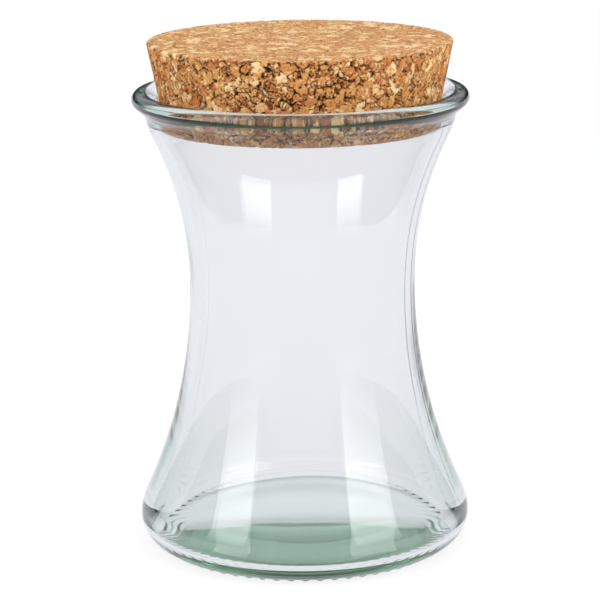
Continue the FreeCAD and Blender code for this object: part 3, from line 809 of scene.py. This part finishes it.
def cork_material(s):
    """Pressed cork: granules of mixed tones, pits with painted shade, dark joints, fine grain
    inside each.
    """
    material, tree = new_material("agglomerated_cork")
    out = node(tree, "ShaderNodeOutputMaterial")
    cork = node(tree, "ShaderNodeBsdfPrincipled", Specular_IOR_Level=0.12)
    link(tree, cork.outputs["BSDF"], out.inputs["Surface"])
    marks = {}
    for name in ("tone", "pit", "crack", "sanded"):
        mark = tree.nodes.new("ShaderNodeAttribute")
        mark.attribute_name = name
        marks[name] = mark.outputs["Fac"]
    where = node(tree, "ShaderNodeTexCoord")
    grain = node(tree, "ShaderNodeTexNoise", **CORK_GRAIN)
    patch = node(tree, "ShaderNodeTexNoise", **CORK_PATCHES)
    for texture in (grain, patch):
        link(tree, where.outputs["Object"], texture.inputs["Vector"])
    middle = maths(tree, "SUBTRACT", patch.outputs["Fac"], 0.5)
    swing = maths(tree, "MULTIPLY", middle, TONE_SWING)
    sanding = maths(tree, "MULTIPLY", marks["sanded"], SANDED_SHARE)
    tones = tree.nodes.new("ShaderNodeValToRGB")
    shades = (s.dark_granule, s.red_granule, s.tan_granule, s.golden_granule, s.pale_granule)
    while len(tones.color_ramp.elements) < len(shades):
        tones.color_ramp.elements.new(0.5)
    for element, position, shade in zip(tones.color_ramp.elements, TONE_STOPS, shades):
        element.position, element.color = position, rgba(shade)
    shade = maths(tree, "ADD", maths(tree, "ADD", marks["tone"], swing), sanding)
    link(tree, shade, tones.inputs["Fac"])
    sanded = colour_mix(tree, "MIX", sanding, tones.outputs["Color"], rgba(s.sanded))
    grained = colour_mix(tree, "OVERLAY", 1.0, sanded, grain.outputs["Fac"])
    flake = maths(tree, "MULTIPLY", speckle(tree, where, *FLAKES), FLAKE_COVER)
    flaked = colour_mix(tree, "MIX", flake, grained, rgba(s.pale_granule))
    lost = maths(tree, "MULTIPLY", marks["sanded"], FLECK_SANDED)
    deep = maths(tree, "SUBTRACT", FLECK_SHADE, lost)
    fleck = maths(tree, "MULTIPLY", speckle(tree, where, *FLECKS), deep)
    joint = maths(tree, "MULTIPLY", marks["crack"], s.joint_shade)
    # Pits get painted shade here; the dark joints and flecks are the cork's own darker tone.
    dark = maths(tree, "MAXIMUM", maths(tree, "MAXIMUM", marks["pit"], joint), fleck)
    pit_shade_painted = colour_mix(tree, "MIX", dark, flaked, rgba(s.pit))
    link(tree, pit_shade_painted, cork.inputs["Base Color"])
    matte = maths(tree, "MULTIPLY", grain.outputs["Fac"], CORK_ROUGHNESS_SWING)
    matte = maths(tree, "ADD", matte, CORK_ROUGHNESS)
    link(tree, matte, cork.inputs["Roughness"])
    relief = maths(tree, "SUBTRACT", grain.outputs["Fac"], fleck)
    bump = node(tree, "ShaderNodeBump", **CORK_RELIEF)
    link(tree, relief, bump.inputs["Height"])
    link(tree, bump.outputs["Normal"], cork.inputs["Normal"])
    return material


def seen_directly_or_in_glass(tree):
    """Sockets that are 1 for camera rays and for rays that met glass."""
    path = tree.nodes.new("ShaderNodeLightPath")
    glass = maths(
        tree, "MAXIMUM", path.outputs["Is Glossy Ray"], path.outputs["Is Transmission Ray"]
    )
    return path.outputs["Is Camera Ray"], glass


def floor_material(s):
    """Pale floor: white with a faint shadow to the eye, an even tone in the glass."""
    material, tree = new_material("studio_floor")
    out = node(tree, "ShaderNodeOutputMaterial")
    eye, glass = seen_directly_or_in_glass(tree)
    paper = node(tree, "ShaderNodeBsdfDiffuse", Color=grey(FLOOR_PAPER))
    shadow = node(tree, "ShaderNodeBsdfDiffuse", Color=grey(s.floor_shade))
    white = node(tree, "ShaderNodeEmission", Color=grey(1), Strength=s.floor_glow)
    lit = tree.nodes.new("ShaderNodeAddShader")
    link(tree, white.outputs["Emission"], lit.inputs[0])
    link(tree, shadow.outputs["BSDF"], lit.inputs[1])
    even = node(tree, "ShaderNodeEmission", Color=rgba(s.seen_through), Strength=1.0)
    to_eye = mix_shaders(tree, eye, paper.outputs["BSDF"], lit.outputs["Shader"])
    in_glass = mix_shaders(tree, glass, to_eye, even.outputs["Emission"])
    link(tree, in_glass, out.inputs["Surface"])
    return material


def smooth_step(tree, value, start, end):
    """Socket that goes smoothly from 0 to 1 as a value goes from start to end."""
    step = node(tree, "ShaderNodeMapRange", From_Min=start, From_Max=end)
    step.interpolation_type = "SMOOTHSTEP"
    link(tree, value, step.inputs["Value"])
    return step.outputs["Result"]


def studio_world(s):
    """White to the eye, a pale backdrop in a dark room to the glass, even fill for the rest."""
    world = bpy.data.worlds.new("studio")
    world.use_nodes = True
    tree = world.node_tree
    tree.nodes.clear()
    out = node(tree, "ShaderNodeOutputWorld")
    eye, glass = seen_directly_or_in_glass(tree)
    white = node(tree, "ShaderNodeBackground", Color=grey(1), Strength=1.0)
    fill = node(tree, "ShaderNodeBackground", Color=grey(1))
    room = node(tree, "ShaderNodeBackground", Strength=1.0)
    where = node(tree, "ShaderNodeTexCoord")
    split = node(tree, "ShaderNodeSeparateXYZ")
    link(tree, where.outputs["Generated"], split.inputs["Vector"])
    overhead = node(tree, "ShaderNodeMapRange", To_Min=s.fill, To_Max=s.fill_overhead)
    link(tree, split.outputs["Z"], overhead.inputs["Value"])
    link(tree, overhead.outputs["Result"], fill.inputs["Strength"])
    rise = tree.nodes.new("ShaderNodeValToRGB")
    rise.color_ramp.interpolation = "EASE"
    low, high = rise.color_ramp.elements
    low.position, low.color = 0.0, rgba(s.wall)
    high.position, high.color = s.wall_top, rgba(s.ceiling)
    link(tree, split.outputs["Z"], rise.inputs["Fac"])
    back = smooth_step(tree, split.outputs["Y"], s.backdrop_edge, s.backdrop_full)
    above = smooth_step(tree, split.outputs["Z"], s.backdrop_foot, s.backdrop_head)
    front = smooth_step(tree, split.outputs["Y"], -s.front_edge, -s.front_full)
    pale = maths(tree, "MAXIMUM", maths(tree, "MULTIPLY", back, above), front)
    backed = colour_mix(tree, "MIX", pale, rise.outputs["Color"], rgba(s.seen_through))
    link(tree, backed, room.inputs["Color"])
    in_glass = mix_shaders(tree, glass, fill.outputs["Background"], room.outputs["Background"])
    to_eye = mix_shaders(tree, eye, in_glass, white.outputs["Background"])
    link(tree, to_eye, out.inputs["Surface"])
    return world


# Stage

# Bounces of light, enough for both walls of the jar and what is seen through them.
LIGHT_BOUNCES = 24


def feather(lamp, share):
    """Let a softbox fade towards its upper and lower edge, over a share of its height."""
    lamp.use_nodes = True
    tree = lamp.node_tree
    tree.nodes.clear()
    out = node(tree, "ShaderNodeOutputLight")
    glow = node(tree, "ShaderNodeEmission", Color=grey(1))
    where = tree.nodes.new("ShaderNodeNewGeometry")
    split = node(tree, "ShaderNodeSeparateXYZ")
    link(tree, where.outputs["Parametric"], split.inputs["Vector"])
    low = smooth_step(tree, split.outputs["Y"], 0.0, share)
    high = smooth_step(tree, split.outputs["Y"], 1.0, 1.0 - share)
    link(tree, maths(tree, "MULTIPLY", low, high), glow.inputs["Strength"])
    link(tree, glow.outputs["Emission"], out.inputs["Surface"])


def add_softbox(s, name, azimuth, width):
    """Upright softbox that faces the jar's axis."""
    lamp = bpy.data.lights.new(name, "AREA")
    lamp.shape = "RECTANGLE"
    lamp.size, lamp.size_y = width, s.softbox_height
    lamp.energy = math.pi * width * s.softbox_height * s.softbox_radiance
    feather(lamp, s.softbox_feather)
    box = bpy.data.objects.new(name, lamp)
    across, along = math.sin(azimuth), -math.cos(azimuth)
    box.location = (s.softbox_distance * across, s.softbox_distance * along, s.softbox_lift)
    towards_jar = Vector((-across, -along, 0))
    box.rotation_mode = "QUATERNION"
    box.rotation_quaternion = towards_jar.to_track_quat("-Z", "Y")
    box.visible_camera = False
    bpy.context.scene.collection.objects.link(box)


def add_camera(s):
    """Camera at the photograph's viewing angle."""
    lens = bpy.data.cameras.new("camera")
    lens.lens, lens.sensor_width = s.lens, s.sensor
    camera = bpy.data.objects.new("camera", lens)
    camera.location = (0, -s.camera_distance, s.camera_height)
    aim = Vector((s.aim_side, 0, s.aim_height)) - camera.location
    camera.rotation_mode = "QUATERNION"
    level = aim.to_track_quat("-Z", "Y")
    camera.rotation_quaternion = level @ Quaternion((0, 0, 1), -s.roll)
    bpy.context.scene.collection.objects.link(camera)
    bpy.context.scene.camera = camera


def add_floor(s):
    """Floor just below the foot."""
    half = s.floor_size / 2
    corners = [(-half, -half), (half, -half), (half, half), (-half, half)]
    points = np.array([(x, y, -s.floor_drop) for x, y in corners])
    floor = new_piece("studio_floor", points, [(0, 1, 2, 3)], floor_material(s))


class JAR_OT_glass(bpy.types.Operator):
    """Blow the glass jar and let it stand for its CAD solid"""

    bl_idname = "jar.glass"
    bl_label = "Glass jar"

    def execute(self, context):
        settings = context.scene.waisted_jar.glass
        points, faces = blow_glass(settings)
        piece = new_piece("glass_jar_blown", points, faces, glass_material(settings))
        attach(piece, "jar")
        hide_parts("glass_jar")
        return {"FINISHED"}


class JAR_OT_cork(bpy.types.Operator):
    """Press the cork lid and let it stand for its CAD solid"""

    bl_idname = "jar.cork"
    bl_label = "Cork lid"

    def execute(self, context):
        settings = context.scene.waisted_jar.cork
        points, faces, marks = press_cork(settings)
        piece = new_piece("cork_lid_pressed", points, faces, cork_material(settings))
        for name, values in marks.items():
            add_attribute(piece, name, values)
        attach(piece, "lid")
        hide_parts("cork_lid")
        return {"FINISHED"}


class JAR_OT_stage(bpy.types.Operator):
    """Set up the floor, the light and the camera"""

    bl_idname = "jar.stage"
    bl_label = "Stage"

    def execute(self, context):
        settings = context.scene.waisted_jar.stage
        add_floor(settings)
        context.scene.world = studio_world(settings)
        add_softbox(settings, "softbox_left", settings.left_azimuth, settings.left_width)
        add_softbox(settings, "softbox_right", settings.right_azimuth, settings.right_width)
        add_camera(settings)
        context.scene.view_settings.view_transform = "Standard"
        context.scene.cycles.max_bounces = LIGHT_BOUNCES
        context.scene.cycles.transmission_bounces = LIGHT_BOUNCES
        context.scene.cycles.glossy_bounces = LIGHT_BOUNCES
        return {"FINISHED"}


class JAR_PT_panel(bpy.types.Panel):
    """Buttons for the jar's pieces and its stage"""

    bl_idname = "JAR_PT_panel"
    bl_label = "Waisted jar"
    bl_space_type = "VIEW_3D"
    bl_region_type = "UI"
    bl_category = "Jar"

    def draw(self, context):
        settings = context.scene.waisted_jar
        groups = ((JAR_OT_glass, "glass"), (JAR_OT_cork, "cork"), (JAR_OT_stage, "stage"))
        for operator, group in groups:
            box = self.layout.box()
            box.operator(operator.bl_idname)
            for name in getattr(settings, group).__annotations__:
                box.prop(getattr(settings, group), name)


CLASSES = (
    GlassJarSettings,
    CorkLidSettings,
    StageSettings,
    JarSceneSettings,
    JAR_OT_glass,
    JAR_OT_cork,
    JAR_OT_stage,
    JAR_PT_panel,
)


def register():
    """Register the classes and hang the settings on the scene."""
    for cls in CLASSES:
        bpy.utils.register_class(cls)
    bpy.types.Scene.waisted_jar = PointerProperty(type=JarSceneSettings)


def unregister():
    """Take away what register added."""
    del bpy.types.Scene.waisted_jar
    for cls in reversed(CLASSES):
        bpy.utils.unregister_class(cls)


def main():
    """Build the stage and both pieces."""
    register()
    bpy.ops.jar.stage()
    bpy.ops.jar.glass()
    bpy.ops.jar.cork()


if __name__ == "__main__":
    main()
